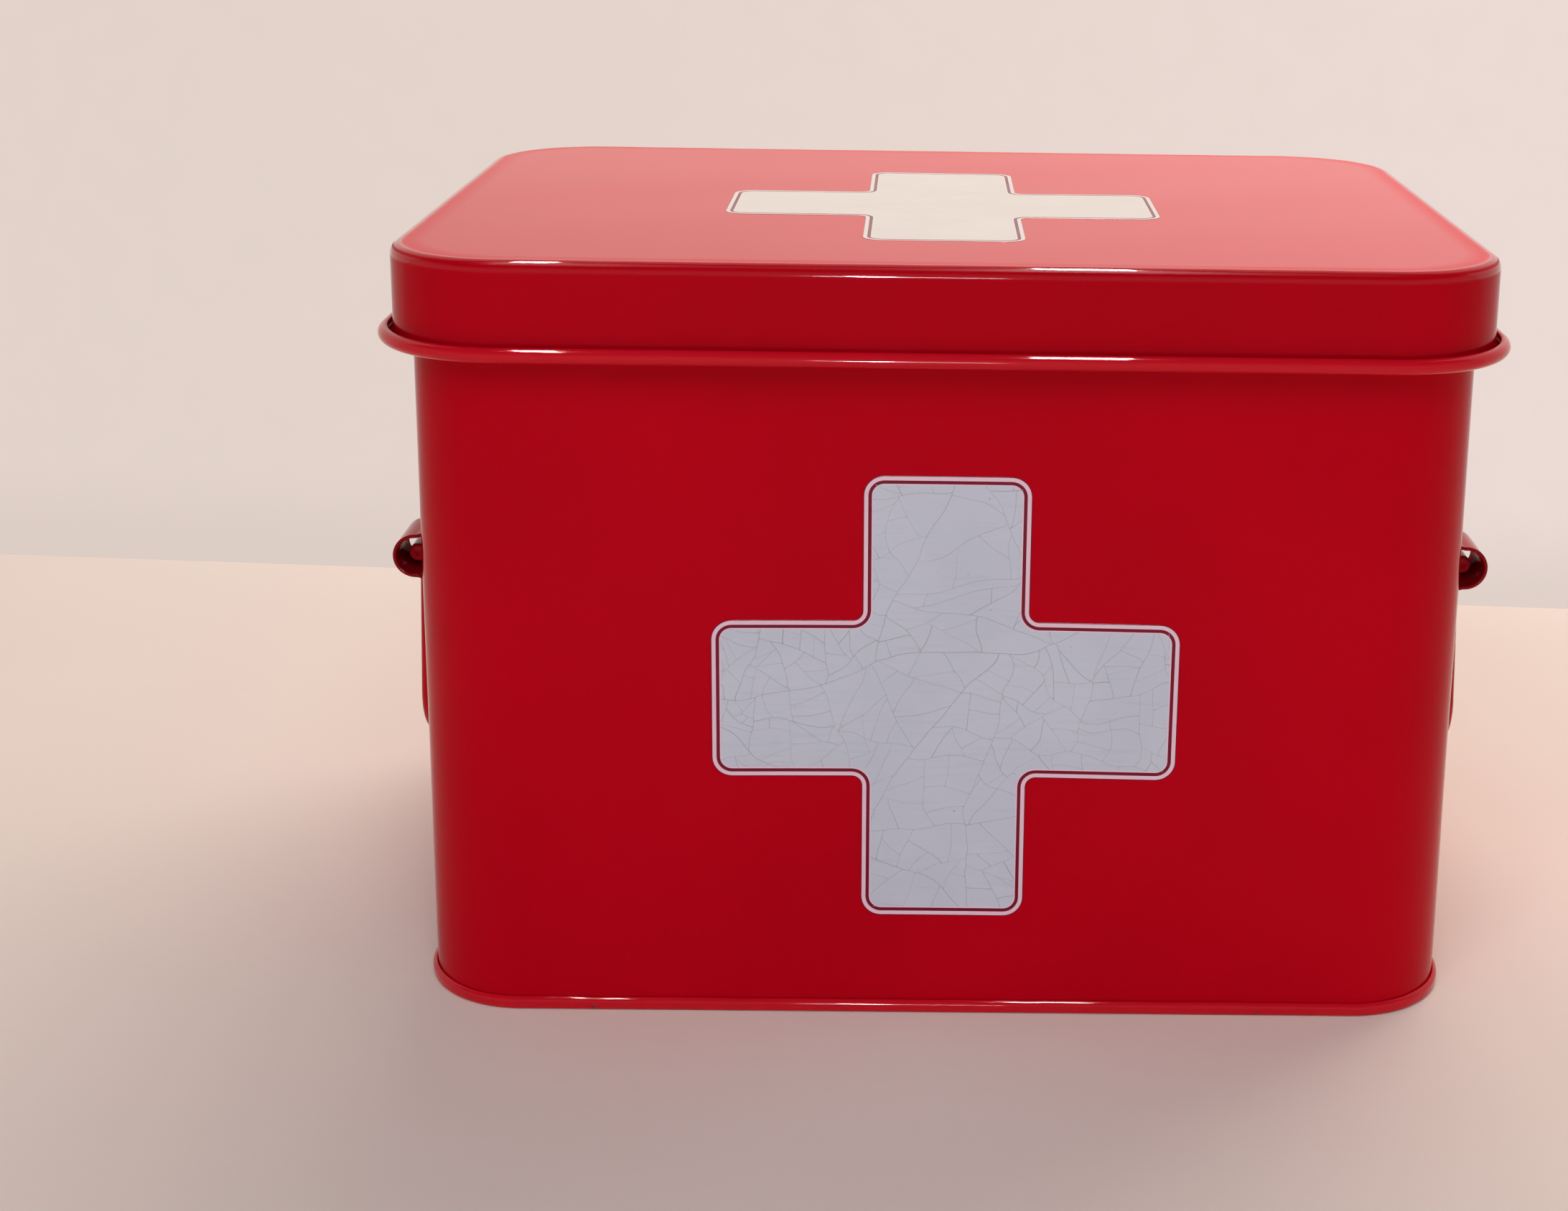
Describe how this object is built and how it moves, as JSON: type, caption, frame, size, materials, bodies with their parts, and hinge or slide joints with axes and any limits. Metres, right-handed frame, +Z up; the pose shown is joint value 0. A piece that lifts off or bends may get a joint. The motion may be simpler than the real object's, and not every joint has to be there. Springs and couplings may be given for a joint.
{
  "type": "first aid box",
  "caption": "Round-cornered red sheet-steel first-aid tin with a rolled gutter rim, a lift-off lid that stands in the gutter, and wire drop handles held in strap clips.",
  "frame": {"origin": "middle of the tin's footprint, on the surface it stands on", "axes": "+X to the right seen from the front, -Y out of the front wall with the cross, +Z up"},
  "size_m": [0.3114, 0.2286, 0.214],
  "materials": {
    "body_enamel": "gloss",
    "lid_enamel": "gloss",
    "fitting_enamel": "gloss",
    "white_print": "satin"
  },
  "bodies": {
    "box": {"body_wall": "body_enamel", "bottom_pan": "body_enamel", "left_front_clip": "fitting_enamel", "left_rear_clip": "fitting_enamel", "right_front_clip": "fitting_enamel", "right_rear_clip": "fitting_enamel"},
    "lid": {"lid": "lid_enamel"},
    "left_bail": {"left_bail": "fitting_enamel"},
    "right_bail": {"right_bail": "fitting_enamel"}
  },
  "joints": [
    {"name": "lid_lift", "type": "slide", "parent": "box", "child": "lid", "axis": [0, 0, 1], "range_m": [0, 0.1]},
    {"name": "left_bail_swing", "type": "hinge", "parent": "box", "child": "left_bail", "pos_m": [-0.1505, 0, 0.1191], "axis": [0, 1, 0], "range_deg": [0, 180]},
    {"name": "right_bail_swing", "type": "hinge", "parent": "box", "child": "right_bail", "pos_m": [0.1505, 0, 0.1191], "axis": [0, -1, 0], "range_deg": [0, 180]}
  ]
}
